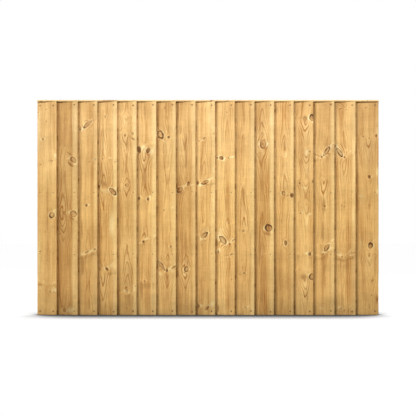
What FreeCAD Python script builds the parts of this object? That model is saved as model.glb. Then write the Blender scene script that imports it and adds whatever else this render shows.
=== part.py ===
"""Closeboard fence panel: feather-edged boards lapped over a framed back, under a capping strip.

The panel stands on its lower edge. X runs along the panel, the boards face -Y, Z is up, and the
origin is at the middle of the footprint. Lengths are in millimetres.
"""
import FreeCAD
import Part
import Sketcher

import math
import os

# Driving dimensions. Each becomes a named cell of the sheet.
DIMENSIONS = {
    "panel_width": 1828,
    "panel_height": 1150,
    "board_width": 122,
    "end_board_width": 140,
    "thin_edge": 5,
    "thick_edge": 11,
    "close_lap": 17,
    "loose_lap": 9,
    "seat_gap": 0.05,
    "rail_depth": 28,
    "rail_height": 38,
    "stile_width": 38,
    "lower_rail_level": 325,
    "upper_rail_level": 656,
    "cap_thickness": 8,
    "nail_length": 32,
    "nail_shank": 2.1,
    "nail_head": 6,
    "nail_head_thickness": 1,
    "nail_margin": 20,
    "outer_nail_margin": 14,
    "nail_scatter": 3,
    "nail_sink": 0.35,
    "nail_gap": 0.05,
    "frame_nail_length": 65,
    "frame_nail_shank": 3.1,
    "frame_nail_head": 7.5,
    "frame_nail_head_thickness": 1.4,
    "frame_nail_spacing": 20,
}

# Boards whose laps are opened up to make the courses come out: two beside the end board and one
# beside the ripped board.
END_LOOSE_COUNT = 2
RIPPED_LOOSE_COUNT = 1

# A wire nail this small is drawn with a few flats: four round the shank and eight round the head.
SHANK_SIDES = 4
HEAD_SIDES = 8

CAP_NAIL_COUNT = 6

TOWARDS_BACK = FreeCAD.Rotation(FreeCAD.Vector(1, 0, 0), 90)
TOWARDS_RIGHT = FreeCAD.Rotation(FreeCAD.Vector(0, 1, 0), -90)
TOWARDS_LEFT = FreeCAD.Rotation(FreeCAD.Vector(0, 1, 0), 90)
DOWNWARDS = FreeCAD.Rotation()

doc = FreeCAD.newDocument("closeboard_panel")
sheet = doc.addObject("Spreadsheet::Sheet", "Sizes")
for row, (alias, number) in enumerate(DIMENSIONS.items(), start=1):
    sheet.set(f"A{row}", alias)
    sheet.set(f"B{row}", str(number))
    sheet.setAlias(f"B{row}", alias)
doc.recompute()


def size(alias):
    """A driving dimension, read from the sheet."""
    return float(sheet.get(alias))


sub_parts = []


def sub_part(feature, label):
    """Names a finished piece and puts it on the list of pieces to write."""
    feature.Label = label
    sub_parts.append(feature)
    return feature


# How the boards are laid

class Board:
    """One feather-edged board: where its thin edge sits, how wide it is and how far it leans.

    Points are worked out in plan, as distance along the panel and depth in front of the rails.
    """

    def __init__(self, left, width, thin, thick):
        self.left = left
        self.width = width
        self.thin = thin
        self.thick = thick
        self.lean = 0.0

    def face_angle(self):
        return self.lean + math.atan((self.thick - self.thin) / self.width)

    def face_start(self):
        """Front corner of the thin edge."""
        return (self.left - self.thin * math.sin(self.lean), self.thin * math.cos(self.lean))

    def face_depth(self, along):
        """Depth of the front face at a distance along the panel."""
        start, depth = self.face_start()
        return depth + (along - start) * math.tan(self.face_angle())

    def front(self):
        """Depth of the thick edge's front corner."""
        return self.width * math.sin(self.lean) + self.thick * math.cos(self.lean)

    def rest_on(self, neighbour):
        """Leans the board until its back clears the neighbour.

        The back of its thick edge meets the neighbour's face, or the neighbour's thin edge meets
        its back, whichever comes first.
        """
        slope = neighbour.face_angle()
        start, depth = neighbour.face_start()
        depth += size("seat_gap")
        rise = depth * math.cos(slope) - (start - self.left) * math.sin(slope)
        on_face = slope + math.asin(rise / self.width)
        on_thin_edge = math.atan2(depth, start - self.left)
        self.lean = max(on_face, on_thin_edge)


def lay_boards():
    """The boards from left to right. They are laid from the right, and the last one is ripped."""
    whole, thin, thick = size("board_width"), size("thin_edge"), size("thick_edge")
    close_cover = whole - size("close_lap")
    loose_cover = whole - size("loose_lap")
    end_cover = size("end_board_width") - size("close_lap")
    left_end, right_end = -size("panel_width") / 2, size("panel_width") / 2

    loose = END_LOOSE_COUNT + RIPPED_LOOSE_COUNT
    to_close = size("panel_width") - end_cover - loose * loose_cover - whole
    close = math.ceil(to_close / close_cover)
    covers = [loose_cover] * END_LOOSE_COUNT
    covers += [close_cover] * close
    covers += [loose_cover] * RIPPED_LOOSE_COUNT

    boards = [Board(right_end - size("end_board_width"), size("end_board_width"), thin, thick)]
    edge = right_end - end_cover
    for cover in covers:
        board = Board(edge - whole, whole, thin, thick)
        board.rest_on(boards[-1])
        boards.append(board)
        edge -= cover

    ripped_thin = thin + (thick - thin) * (whole - (edge - left_end)) / whole
    ripped = Board(left_end, edge - left_end, ripped_thin, thick)
    ripped.rest_on(boards[-1])
    inset = ripped_thin * math.sin(ripped.lean)
    ripped.left += inset
    ripped.width -= inset
    ripped.rest_on(boards[-1])
    boards.append(ripped)
    return boards[::-1]


boards = lay_boards()
cladding_depth = max(board.front() for board in boards)
panel_depth = cladding_depth + size("rail_depth")
front_plane = -panel_depth / 2
rail_plane = front_plane + cladding_depth
under_cap = size("panel_height") - size("cap_thickness")

rail_levels = {
    "bottom_rail": size("rail_height") / 2,
    "lower_rail": size("lower_rail_level"),
    "upper_rail": size("upper_rail_level"),
    "top_rail": under_cap - size("rail_height") / 2,
}


# Nails

def nail(name, kind, gap):
    """A nail lying down the Z axis with its head's top at the origin.

    With a gap it is the bore for that nail, open above the head.
    """
    shank = doc.addObject("Part::Prism", name + "Shank")
    shank.Polygon = SHANK_SIDES
    shank.setExpression("Circumradius", f"Sizes.{kind}_shank / 2 + {gap}")
    shank.setExpression("Height", f"Sizes.{kind}_length + {gap}")
    shank.setExpression("Placement.Base.z", f"-Sizes.{kind}_length - {gap}")
    head = doc.addObject("Part::Prism", name + "Head")
    head.Polygon = HEAD_SIDES
    head.setExpression("Circumradius", f"Sizes.{kind}_head / 2 + {gap}")
    open_above = f"Sizes.{kind}_head" if gap != "0" else "0"
    head.setExpression("Height", f"Sizes.{kind}_head_thickness + {gap} + {open_above}")
    head.setExpression("Placement.Base.z", f"-Sizes.{kind}_head_thickness - {gap}")
    whole = doc.addObject("Part::Fuse", name)
    whole.Base = shank
    whole.Tool = head
    whole.Refine = True
    return whole


board_nail = nail("BoardNail", "nail", "0")
board_bore = nail("BoardNailBore", "nail", "Sizes.nail_gap")
frame_nail = nail("FrameNail", "frame_nail", "0")
frame_bore = nail("FrameNailBore", "frame_nail", "Sizes.nail_gap")
doc.recompute()


def group(name, master, places):
    """Copies of one nail or bore, each a solid of its own, at a list of placements."""
    feature = doc.addObject("Part::Feature", name)
    solids = []
    for place in places:
        copy = master.Shape.Solids[0].copy()
        copy.Placement = place
        solids.append(copy)
    feature.Shape = Part.makeCompound(solids)
    return feature


def scatter(column, row):
    """Hand-nailing strays a little above and below the line: a fixed, uneven sequence."""
    return size("nail_scatter") * math.sin(2.4 * column + 1.7 * row) * math.cos(0.9 * column)


def board_nail_place(board, along, level):
    """A nail driven straight back through a board's face."""
    depth = rail_plane - board.face_depth(along) + size("nail_sink")
    return FreeCAD.Placement(FreeCAD.Vector(along, depth, level), TOWARDS_BACK)


nails_by_board = [[] for _ in boards]
nails_by_rail = {name: [] for name in rail_levels}
nails_by_stile = {"left_stile": [], "right_stile": []}
nail_columns = []
stile_reach = size("panel_width") / 2 - size("stile_width")

for number, board in enumerate(boards):
    columns = [board.left + board.width * math.cos(board.lean) - size("nail_margin")]
    if number == 0:
        columns.insert(0, board.left + size("outer_nail_margin"))
    nail_columns.append(columns[-1])
    for along in columns:
        for row, (rail, level) in enumerate(rail_levels.items()):
            place = board_nail_place(board, along, level + scatter(number, row))
            nails_by_board[number].append(place)
            nails_by_rail[rail].append(place)
            if abs(along) > stile_reach - size("nail_head"):
                nails_by_stile["left_stile" if along < 0 else "right_stile"].append(place)

frame_nails = {"left_stile": [], "right_stile": []}
for level in rail_levels.values():
    for side in (-1, 1):
        height = level + side * size("frame_nail_spacing") / 2
        middle = rail_plane + size("rail_depth") / 2
        reach = size("panel_width") / 2 - size("nail_sink")
        frame_nails["left_stile"].append(
            FreeCAD.Placement(FreeCAD.Vector(-reach, middle, height), TOWARDS_RIGHT))
        frame_nails["right_stile"].append(
            FreeCAD.Placement(FreeCAD.Vector(reach, middle, height), TOWARDS_LEFT))

# A capping nail goes midway between two board nails, so that they miss each other in the top rail.
between_nails = [(before + after) / 2 for before, after in zip(nail_columns, nail_columns[1:])]
cap_nails = []
for number in range(CAP_NAIL_COUNT):
    along = between_nails[round(number * (len(between_nails) - 1) / (CAP_NAIL_COUNT - 1))]
    spot = FreeCAD.Vector(
        along,
        rail_plane + size("rail_depth") / 2,
        size("panel_height") - size("nail_sink"))
    cap_nails.append(FreeCAD.Placement(spot, DOWNWARDS))

for rail, places in nails_by_rail.items():
    sub_part(group("Nails_" + rail, board_nail, places), rail + "_nails")
for stile, places in frame_nails.items():
    sub_part(group("Nails_" + stile, frame_nail, places), stile + "_nails")
sub_part(group("Nails_cap", board_nail, cap_nails), "capping_nails")


def bored(blank, bores, label):
    """A piece of timber with its nail bores cut."""
    cut = doc.addObject("Part::Cut", "Bored_" + label)
    cut.Base = blank
    cut.Tool = bores
    return sub_part(cut, label)


# Boards

def board_blank(number, board):
    """A feather-edged board: a wedge section run up the height under the cap."""
    body = doc.addObject("PartDesign::Body", f"Board{number}")
    section = body.newObject("Sketcher::SketchObject", f"Board{number}Section")
    plane = next(f for f in body.Origin.OriginFeatures if f.Role == "XY_Plane")
    section.AttachmentSupport = (plane, [""])
    section.MapMode = "FlatFace"
    corners = [
        FreeCAD.Vector(0, 0, 0),
        FreeCAD.Vector(board.width, 0, 0),
        FreeCAD.Vector(board.width, -board.thick, 0),
        FreeCAD.Vector(0, -board.thin, 0),
    ]
    back, thick, face, thin = 0, 1, 2, 3
    for start, end in zip(corners, corners[1:] + corners[:1]):
        section.addGeometry(Part.LineSegment(start, end))
    for line in (back, thick, face, thin):
        section.addConstraint(Sketcher.Constraint("Coincident", line, 2, (line + 1) % 4, 1))
    section.addConstraint(Sketcher.Constraint("Coincident", back, 1, -1, 1))
    section.addConstraint(Sketcher.Constraint("Horizontal", back))
    section.addConstraint(Sketcher.Constraint("Vertical", thick))
    section.addConstraint(Sketcher.Constraint("Vertical", thin))
    lengths = ((back, board.width, "width"), (thick, board.thick, "thick"), (thin, board.thin, "thin"))
    for line, length, name in lengths:
        index = section.addConstraint(Sketcher.Constraint("Distance", line, length))
        section.renameConstraint(index, name)
    section.setExpression("Constraints.thick", "Sizes.thick_edge")
    if number > 1:
        whole = "end_board_width" if number == len(boards) else "board_width"
        section.setExpression("Constraints.width", "Sizes." + whole)
        section.setExpression("Constraints.thin", "Sizes.thin_edge")
    pad = body.newObject("PartDesign::Pad", f"Board{number}Length")
    pad.Profile = section
    pad.setExpression("Length", "Sizes.panel_height - Sizes.cap_thickness")
    body.Placement = FreeCAD.Placement(
        FreeCAD.Vector(board.left, rail_plane, 0),
        FreeCAD.Rotation(FreeCAD.Vector(0, 0, 1), -math.degrees(board.lean)))
    return body


for number, (board, places) in enumerate(zip(boards, nails_by_board), start=1):
    bores = group(f"Board{number}Bores", board_bore, places)
    bored(board_blank(number, board), bores, f"board_{number:02d}")


# Back frame

def timber(name, along, depth, height, corner):
    """A squared timber whose sizes and lower left front corner are expressions on the sheet."""
    box = doc.addObject("Part::Box", name)
    box.setExpression("Length", along)
    box.setExpression("Width", depth)
    box.setExpression("Height", height)
    for axis, place in zip("xyz", corner):
        box.setExpression("Placement.Base." + axis, str(place))
    return box


def joined(name, *groups):
    """Several groups of bores as one tool."""
    feature = doc.addObject("Part::Compound", name)
    feature.Links = list(groups)
    return feature


all_frame_nails = frame_nails["left_stile"] + frame_nails["right_stile"]
frame_bores = group("FrameBores", frame_bore, all_frame_nails)
cap_bores = group("CapBores", board_bore, cap_nails)

for rail, level in rail_levels.items():
    blank = timber(
        "Blank_" + rail,
        "Sizes.panel_width - 2 * Sizes.stile_width", "Sizes.rail_depth", "Sizes.rail_height",
        ("Sizes.stile_width - Sizes.panel_width / 2", rail_plane, level - size("rail_height") / 2))
    bores = group("Bores_" + rail, board_bore, nails_by_rail[rail])
    tools = [bores, frame_bores] + ([cap_bores] if rail == "top_rail" else [])
    bored(blank, joined("AllBores_" + rail, *tools), rail)

stile_starts = {
    "left_stile": "-Sizes.panel_width / 2",
    "right_stile": "Sizes.panel_width / 2 - Sizes.stile_width",
}
for stile, left in stile_starts.items():
    blank = timber(
        "Blank_" + stile,
        "Sizes.stile_width", "Sizes.rail_depth", "Sizes.panel_height - Sizes.cap_thickness",
        (left, rail_plane, 0))
    bores = group("Bores_" + stile, board_bore, nails_by_stile[stile])
    bored(blank, joined("AllBores_" + stile, bores, frame_bores), stile)

cap_blank = timber(
    "Blank_capping", "Sizes.panel_width", str(panel_depth), "Sizes.cap_thickness",
    ("-Sizes.panel_width / 2", front_plane, "Sizes.panel_height - Sizes.cap_thickness"))
bored(cap_blank, cap_bores, "capping_strip")

# Checks and files

doc.recompute()
for feature in doc.Objects:
    if {"Invalid", "Error"} & set(feature.State):
        raise RuntimeError(f"{feature.Label} did not build: {feature.State}")
for feature in sub_parts:
    if feature.Shape.isNull() or not feature.Shape.isValid() or not feature.Shape.Solids:
        raise RuntimeError(f"{feature.Label} is not a sound solid")

os.makedirs("parts", exist_ok=True)
for feature in sub_parts:
    feature.Shape.exportStep(f"parts/{feature.Label}.step")
print(f"{len(sub_parts)} pieces, {len(boards)} boards, {panel_depth:.1f} mm deep")
print("leans in degrees:", " ".join(f"{math.degrees(board.lean):.2f}" for board in boards))
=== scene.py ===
# %% [markdown]
# # A closeboard fence panel
# The panel is a row of upright feather-edged boards, each lapped over the next, nailed to a back
# frame and finished with a thin capping strip. The solids fix every size, so this lesson only
# dresses them: it rebuilds each timber with finer geometry, grows a wood figure through it, and
# sets up the studio.

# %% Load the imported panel
import math

import bpy
import numpy as np
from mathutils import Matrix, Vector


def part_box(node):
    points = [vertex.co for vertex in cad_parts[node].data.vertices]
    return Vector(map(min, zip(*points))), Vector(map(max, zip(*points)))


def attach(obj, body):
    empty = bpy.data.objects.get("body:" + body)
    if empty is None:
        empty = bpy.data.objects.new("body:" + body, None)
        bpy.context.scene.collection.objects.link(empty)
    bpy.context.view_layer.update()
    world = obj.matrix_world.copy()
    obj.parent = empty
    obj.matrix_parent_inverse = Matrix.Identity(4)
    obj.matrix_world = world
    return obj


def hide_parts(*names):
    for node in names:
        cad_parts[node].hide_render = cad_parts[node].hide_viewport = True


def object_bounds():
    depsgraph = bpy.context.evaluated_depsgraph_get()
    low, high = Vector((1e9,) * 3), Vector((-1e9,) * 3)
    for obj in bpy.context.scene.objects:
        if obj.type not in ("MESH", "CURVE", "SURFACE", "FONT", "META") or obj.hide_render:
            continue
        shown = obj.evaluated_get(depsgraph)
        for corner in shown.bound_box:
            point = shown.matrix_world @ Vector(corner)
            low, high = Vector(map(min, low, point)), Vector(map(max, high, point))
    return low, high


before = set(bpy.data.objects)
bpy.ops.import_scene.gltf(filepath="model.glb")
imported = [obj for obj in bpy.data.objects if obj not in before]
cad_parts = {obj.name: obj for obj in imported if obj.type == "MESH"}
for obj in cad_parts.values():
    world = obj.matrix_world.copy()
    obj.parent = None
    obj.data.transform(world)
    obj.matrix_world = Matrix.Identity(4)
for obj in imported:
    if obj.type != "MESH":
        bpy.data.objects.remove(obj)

cad_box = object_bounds()
MM = 0.001
print("panel", [round(high - low, 4) for low, high in zip(*cad_box)])

# %% [markdown]
# ## Building node trees
# Both geometry and shader trees are long lists of nodes and links. They could be drawn by hand in
# the node editor, but then nobody could read them as text. Here each output of a node is wrapped
# in a small class that knows arithmetic: adding two values puts an Add node in their tree and
# links it. So the trees below read as plain sums.

# %% Values of nodes
class Value:
    """An output of a node. Arithmetic on it adds Math nodes to its tree."""

    def __init__(self, socket):
        self.socket = socket

    def __add__(self, other):
        return sums("ADD", self, other)

    def __sub__(self, other):
        return sums("SUBTRACT", self, other)

    def __rsub__(self, other):
        return sums("SUBTRACT", other, self)

    def __mul__(self, other):
        return sums("MULTIPLY", self, other)

    def __pow__(self, other):
        return sums("POWER", self, other)

    def __abs__(self):
        return sums("ABSOLUTE", self)


def values_of(made):
    """All outputs of a node by name."""
    return {socket.name: Value(socket) for socket in made.outputs}


def fill(made, inputs):
    """Fills or links the inputs of a node by name or position."""
    for key, value in inputs.items():
        if isinstance(value, Value):
            made.id_data.links.new(value.socket, made.inputs[key])
        else:
            made.inputs[key].default_value = value


def put(tree, kind, inputs=None, **settings):
    """Adds a node, sets its properties and fills its inputs."""
    made = tree.nodes.new(kind)
    for name, value in settings.items():
        setattr(made, name, value)
    fill(made, inputs or {})
    return made


def out(tree, kind, inputs=None, output=0, **settings):
    """Adds a node and gives one output of it."""
    return Value(put(tree, kind, inputs, **settings).outputs[output])


# %% Common nodes
def tree_of(*values):
    """The tree that holds the given values."""
    return next(value.socket.id_data for value in values if isinstance(value, Value))


def sums(operation, *values):
    """A Math node."""
    return out(tree_of(*values), "ShaderNodeMath", dict(enumerate(values)), operation=operation)


def limited(value):
    """A value kept between 0 and 1."""
    return out(tree_of(value), "ShaderNodeClamp", {0: value, 1: 0.0, 2: 1.0})


def ramp(value, low, high, to_low=0.0, to_high=1.0, smooth=True):
    """A Map Range node."""
    kind = "SMOOTHSTEP" if smooth else "LINEAR"
    inputs = {0: value, 1: low, 2: high, 3: to_low, 4: to_high}
    return out(tree_of(value), "ShaderNodeMapRange", inputs, interpolation_type=kind)


def tint(factor, first, second, blend="MIX"):
    """A mix of two colours."""
    tree = tree_of(factor, first, second)
    inputs = {0: factor, 6: first, 7: second}
    return out(tree, "ShaderNodeMix", inputs, 2, data_type="RGBA", blend_type=blend)


def between(factor, first, second):
    """A mix of two vectors."""
    return out(tree_of(factor), "ShaderNodeMix", {0: factor, 4: first, 5: second}, 1, data_type="VECTOR")


def cloud(vector, scale, detail=2.0, roughness=0.5):
    """The value of a noise texture."""
    inputs = {"Vector": vector, "Scale": scale, "Detail": detail, "Roughness": roughness}
    return out(tree_of(vector), "ShaderNodeTexNoise", inputs)


def stretched(vector, x, y, z):
    """A vector with each part multiplied."""
    return out(tree_of(vector), "ShaderNodeVectorMath", {0: vector, 1: (x, y, z)}, operation="MULTIPLY")


def scaled(vector, scale):
    """A vector times one number."""
    return out(tree_of(vector), "ShaderNodeVectorMath", {0: vector, "Scale": scale}, operation="SCALE")


def split(vector):
    """The three parts of a vector."""
    return values_of(put(tree_of(vector), "ShaderNodeSeparateXYZ", {0: vector})).values()


def joined(x, y, z):
    """A vector made of three parts."""
    return out(tree_of(x, y, z), "ShaderNodeCombineXYZ", {0: x, 1: y, 2: z})


def new_group(name, kind, inputs, outputs):
    """An empty node group with named sockets: its tree, the values it takes, and its output node."""
    tree = bpy.data.node_groups.new(name, kind)
    for socket, (socket_type, value) in inputs.items():
        made = tree.interface.new_socket(socket, in_out="INPUT", socket_type="NodeSocket" + socket_type)
        if value is not None:
            made.default_value = value
    for socket, socket_type in outputs.items():
        tree.interface.new_socket(socket, in_out="OUTPUT", socket_type="NodeSocket" + socket_type)
    return tree, values_of(tree.nodes.new("NodeGroupInput")), tree.nodes.new("NodeGroupOutput")


# %% [markdown]
# ## Wood figure as a shader group
# Growth rings, streaks and knots are one thing seen at different scales: how old the wood is at
# each point. Each timber carries that age in a mesh attribute, made further down, so the shader
# only has to turn age into colour. Within a year the wood darkens slowly and ends in a sharp dark
# line. No two years are alike, so a random number for each makes some lines hard and some faint.

# %% Rings
def ring_lines(grain, age, plank, lively):
    """How much late wood there is, with thinner and sharper lines where the rings are lively."""
    season = sums("FRACT", age)
    own_year = {0: joined(sums("FLOOR", age), plank, 0.0)}
    hardness = out(tree_of(age), "ShaderNodeTexWhiteNoise", own_year, noise_dimensions="2D")
    late = ramp(season, 0.2, 0.85, 0.0, 0.32) + ramp(season, 0.6, 0.9) * 0.55
    late = late * ramp(season, 0.92, 1.0, 1.0, 0.0) * ramp(hardness, 0.0, 1.0, 0.2, 1.0)
    patch = cloud(stretched(grain, 0.25, 3.0, 20.0), 1.0)
    late = late * ramp(patch, 0.35, 0.68, 0.25, 1.0)
    thin = ramp(season, 0.55, 0.88) * ramp(season, 0.93, 1.0, 1.0, 0.0) * ramp(hardness, 0.0, 1.0, 0.5, 1.0)
    return late + (thin - late) * lively


# %% [markdown]
# A knot is a branch cut across. It comes to the shader as the distance from its outline, because
# a distance stays smooth between two points where a mask would look stepped. Inside there are
# small rings and a few drying cracks, and around it runs a ragged dark line of bark and resin.

# %% Knots
def knot_layers(place, outline, body, rim):
    """Where a knot's inside shows, how dark it is there, and where the line around it runs."""
    inwards = outline + (cloud(place, 110.0, 3.0) - 0.5) * 2.6
    inside = limited(ramp(inwards, 1.0, -1.0) * body * 1.1)
    rings = sums("SINE", inwards * 2.4) * 0.08 + 0.08
    middle = ramp(inwards, -12.0, -6.0, 0.22, 0.0)
    inner_ring = ramp(abs(inwards + 8.0), 0.6, 2.6, 0.45, 0.0)
    cracks = ramp(cloud(stretched(place, 330.0, 60.0, 330.0), 1.0), 0.62, 0.72, 0.0, 0.8)
    dead_wood = ramp(body, 0.45, 1.0, 0.0, 0.75)
    dark = rings + middle
    for layer in (inner_ring, cracks, dead_wood):
        dark = sums("MAXIMUM", dark, layer)
    line = ramp(sums("DIVIDE", abs(inwards), rim * 0.9 + 0.7), 1.3, 4.2, 1.0, 0.0)
    lopsided = ramp(cloud(place, 55.0, 1.0), 0.34, 0.54, 0.65, 1.0)
    return inside, dark, limited(line * rim * lopsided * 1.2)


# %% [markdown]
# Everything comes together in one group, because the boards and the frame share it with different
# values. The rings and several noises, stretched along the grain, say how dark the wood is. Curly
# wood is laid over it pale, resin dark, and the whole is multiplied by the board's own tone, with
# more effect on blue and green, because deeper wood is also a warmer colour.

# %% Wood figure group
WOOD_COLOURS = {
    "Early wood": (0.82, 0.52, 0.195, 1), "Late wood": (0.40, 0.20, 0.055, 1),
    "Curly wood": (0.935, 0.715, 0.345, 1), "Resin wood": (0.42, 0.205, 0.06, 1),
    "Knot wood": (0.47, 0.225, 0.066, 1), "Knot rim": (0.11, 0.043, 0.011, 1),
    "Knot stain": (0.37, 0.115, 0.016, 1),
}


def wood_figure():
    inputs = {name: ("Vector", None) for name in ("Place", "Grain", "Marks", "Skin")}
    inputs |= {name: ("Color", colour) for name, colour in WOOD_COLOURS.items()}
    inputs |= {"Contrast": ("Float", 0.55)}
    outputs = {"Colour": "Color", "Height": "Float", "Roughness": "Float"}
    tree, take, give = new_group("wood figure", "ShaderNodeTree", inputs, outputs)
    grain, curly_wood = take["Grain"], take["Curly wood"]
    age, _, plank = split(grain)
    sap, tone, glow = split(take["Skin"])
    lively = limited(sap * -1.0)
    late = ring_lines(grain, age, sums("FLOOR", plank), lively)
    broad = cloud(stretched(grain, 0.10, 1.1, 15.0), 1.0)
    streak = cloud(stretched(grain, 0.4, 2.2, 60.0), 1.0, 3.0, 0.6)
    fibre = cloud(stretched(grain, 2.5, 11.0, 200.0), 1.0, 4.0, 0.7)
    strands = cloud(stretched(grain, 0.0, 1.6, 85.0), 1.0, 4.0, 0.7)

    dark = late * ramp(sap, -1.0, 1.0, 2.6, 0.4, smooth=False) * take["Contrast"]
    dark = dark + ramp(streak, 0.38, 0.78) * 0.45 + ramp(broad, 0.36, 0.70) * 0.30
    dark = limited(dark + (strands - 0.5) * 0.5 + (fibre - 0.5) * 0.33)
    sap = sums("MAXIMUM", sap, 0.0)
    dark = dark * (1.0 - sap * 0.4)

    curly = ramp(glow, 0.0, 0.3) * ramp(glow + (streak - 0.5) * 0.8, 0.0, 1.1)
    pale = tint(limited(curly * 0.8 + lively * 0.35), take["Early wood"], curly_wood)
    colour = tint(dark, pale, take["Late wood"])
    colour = tint(sap * 0.43, colour, curly_wood)
    colour = tint(curly * 0.7, colour, curly_wood)
    sticky = glow * -1.0
    resin = ramp(sticky + ramp(sticky, 0.0, 0.4) * (strands - 0.5) * 2.2, 0.02, 0.85)
    colour = tint(resin * 0.75, colour, take["Resin wood"])
    colour = tint(1.0, colour, joined(tone, tone**1.3, tone**1.7), "MULTIPLY")

    inside, knot_dark, line = knot_layers(take["Place"], *split(take["Marks"]))
    colour = tint(inside, colour, tint(knot_dark, take["Knot wood"], take["Knot rim"]))
    colour = tint(line, colour, tint(line, take["Knot stain"], take["Knot rim"]))
    height = fibre * 0.6 + late * 0.5 - line * 0.7 + inside * 0.3
    fill(give, {"Colour": colour, "Height": height, "Roughness": ramp(dark + inside, 0.0, 1.2, 0.80, 0.60)})
    return tree


figure_group = wood_figure()
print("shader group:", figure_group.name, "with", len(figure_group.nodes), "nodes")

# %% [markdown]
# ## Saw marks and painted shade as a shader group
# A band saw leaves fine ridges across a sawn face. The dip that preserves the wood takes
# unevenly, so it blotches. Towards the foot the colour grows more saturated. A band below the
# capping is painted darker as painted shade, and a thin strip right under it is painted paler as
# painted light against the capping's cast shadow. The foot is painted darker as painted shade
# near the floor, and greyer as splashed earth. All this is the same on every timber apart from
# the way the ridges run.

# %% Saw marks and painted shade group
def saw_marks_and_painted_shade():
    inputs = {"Place": ("Vector", None), "Ridges": ("Vector", None)}
    outputs = {"Height": "Float", "Shade": "Color"}
    tree, take, give = new_group("saw marks and painted shade", "ShaderNodeTree", inputs, outputs)
    place, ridges = take["Place"], take["Ridges"]
    height = cloud(ridges, 1.0) + cloud(place, 900.0) * 0.5
    blotch = ramp(cloud(place, 7.0, 5.0, 0.68), 0.3, 0.7, -0.1, 0.09)
    bands = ramp(cloud(scaled(ridges, 0.22), 1.0, 2.0, 0.6), 0.3, 0.7, 0.983, 1.017)
    mottle = ramp(cloud(place, 150.0, 2.0, 0.6), 0.25, 0.75, -0.06, 0.06, smooth=False)
    _, _, level = split(place)
    # painted shade and light: a band below the capping is darkened, and a thin strip right under it is
    # lightened against the capping's cast shadow
    shade_and_light_below_capping = ramp(level, 1.02, 1.135, 1.0, 0.925) * ramp(level, 1.134, 1.146, 1.0, 1.16)
    shade = (blotch + bands + mottle) * shade_and_light_below_capping
    # towards the foot green and blue fall, so the colour grows more saturated there
    green = shade**1.25 * ramp(level, 0.3, 1.1, 0.965, 1.008)
    blue = shade**1.5 * ramp(level, 0.45, 1.1, 0.87, 1.04)
    # painted shade near the floor: below a ragged line the foot is darkened, and greyed as splashed earth
    ragged_level = level + (cloud(place, 11.0, 3.0) - 0.5) * 0.22
    foot_shade_and_splash = ramp(ragged_level, -0.02, 0.16, 0.78, 1.0)
    fill(give, {"Height": height, "Shade": scaled(joined(shade, green, blue), foot_shade_and_splash)})
    return tree


marks_and_shade_group = saw_marks_and_painted_shade()
print("shader group:", marks_and_shade_group.name, "with", len(marks_and_shade_group.nodes), "nodes")

# %% [markdown]
# ## Timber materials
# The boards and the frame come from the same dipped softwood, but the frame is plainer and a
# little browner. Each material reads the attributes, sends them through the shared groups and
# keeps its own Principled shader.

# %% Timber materials
def new_material(name):
    """A material, its tree and its Principled shader."""
    material = bpy.data.materials.new(name)
    material.use_nodes = True
    return material, material.node_tree, material.node_tree.nodes["Principled BSDF"]


def timber_material(name, contrast, early, late, ridge_scale):
    material, tree, shader = new_material(name)
    place = out(tree, "ShaderNodeTexCoord", output="Object")
    inputs = {"Place": place, "Contrast": contrast, "Early wood": early, "Late wood": late}
    for part in ("grain", "marks", "skin"):
        inputs[part.capitalize()] = out(tree, "ShaderNodeAttribute", output="Vector", attribute_name=part)
    figure = values_of(put(tree, "ShaderNodeGroup", inputs, node_tree=figure_group))
    marked = {"Place": place, "Ridges": stretched(place, *ridge_scale)}
    saw = values_of(put(tree, "ShaderNodeGroup", marked, node_tree=marks_and_shade_group))
    height = figure["Height"] + saw["Height"] * 0.5
    bump = out(tree, "ShaderNodeBump", {"Strength": 0.25, "Distance": 0.0006, "Height": height})
    fill(shader, {
        "Base Color": tint(1.0, figure["Colour"], saw["Shade"], "MULTIPLY"),
        "Roughness": figure["Roughness"], "Normal": bump, "Specular IOR Level": 0.22})
    return material


board_wood = timber_material(
    "dipped pine boards", 0.50, (0.85, 0.540, 0.204, 1), (0.43, 0.172, 0.031, 1), (30.0, 30.0, 420.0))
frame_wood = timber_material(
    "dipped pine frame", 0.60, (0.74, 0.455, 0.165, 1), (0.38, 0.19, 0.055, 1), (420.0, 60.0, 60.0))
print("materials:", board_wood.name, "and", frame_wood.name)

# %% [markdown]
# ## Growing the wood
# A board's figure could be painted, but the face, the edges and the end grain would not agree. So
# it is grown instead: every point of the mesh gets its age and the strand of fibre that it lies
# on, in three dimensions, from the trunk that the board was sawn from. The features are then
# added to that growth one kind at a time, each in millimetres. First come three plain curves.

# %% Curves
def sway(where, wave, seed):
    """A smooth, fixed, uneven wave between about -1 and 1."""
    random = np.random.default_rng(seed)
    total = 0.0
    for octave in range(3):
        turns = where * (math.tau / wave) * 1.7**octave
        total = total + np.sin(turns + random.uniform(0, math.tau)) / 1.6**octave
    return total / 2.0


def smooth(low, high, value):
    """A soft step from 0 at low to 1 at high."""
    part = np.clip((value - low) / (high - low), 0, 1)
    return part * part * (3 - 2 * part)


def bell(value, width, power=2.0):
    """1 at nought, falling away to either side."""
    return np.exp(-((np.abs(value) / width) ** power))


print("bell at its width", round(float(bell(1.0, 1.0)), 3))

# %% Growth of a timber
FAR_FROM_KNOTS = 30.0


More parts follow.
